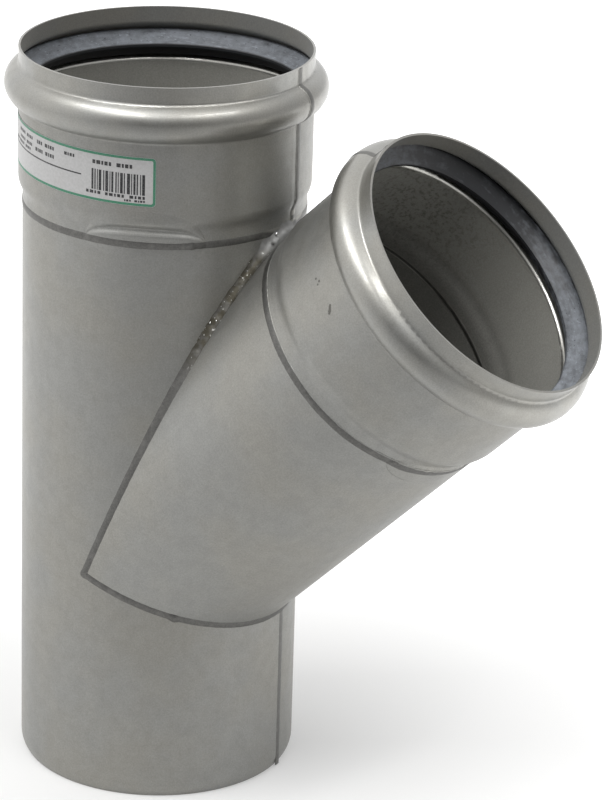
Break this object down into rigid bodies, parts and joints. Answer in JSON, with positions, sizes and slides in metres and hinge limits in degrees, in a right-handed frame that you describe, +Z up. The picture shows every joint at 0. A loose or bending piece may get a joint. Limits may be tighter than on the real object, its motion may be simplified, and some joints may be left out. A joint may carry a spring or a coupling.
{
  "type": "lateral wye fitting",
  "caption": "Push-fit steel pipe branch: straight run with spigot and beaded socket, equal branch at 45 degrees with the same socket, lip seals in both.",
  "frame": {"origin": "centre of the run's spigot end, on the run's axis", "axes": "+Z up along the run from the spigot end to the run's mouth, +X towards the side that the branch leaves, which lies in the XZ plane"},
  "size_m": [0.2766, 0.1412, 0.3318],
  "materials": {
    "steel": "pickled, matt",
    "weld": "as welded",
    "rubber": "dusted matt",
    "label": "printed film"
  },
  "bodies": {
    "root": {"run_tube": "steel", "branch_tube": "steel", "run_socket": "steel", "branch_socket": "steel", "saddle_weld": "weld", "run_ring_weld": "weld", "branch_ring_weld": "weld", "run_seal": "rubber", "branch_seal": "rubber", "label": "label"}
  },
  "joints": []
}
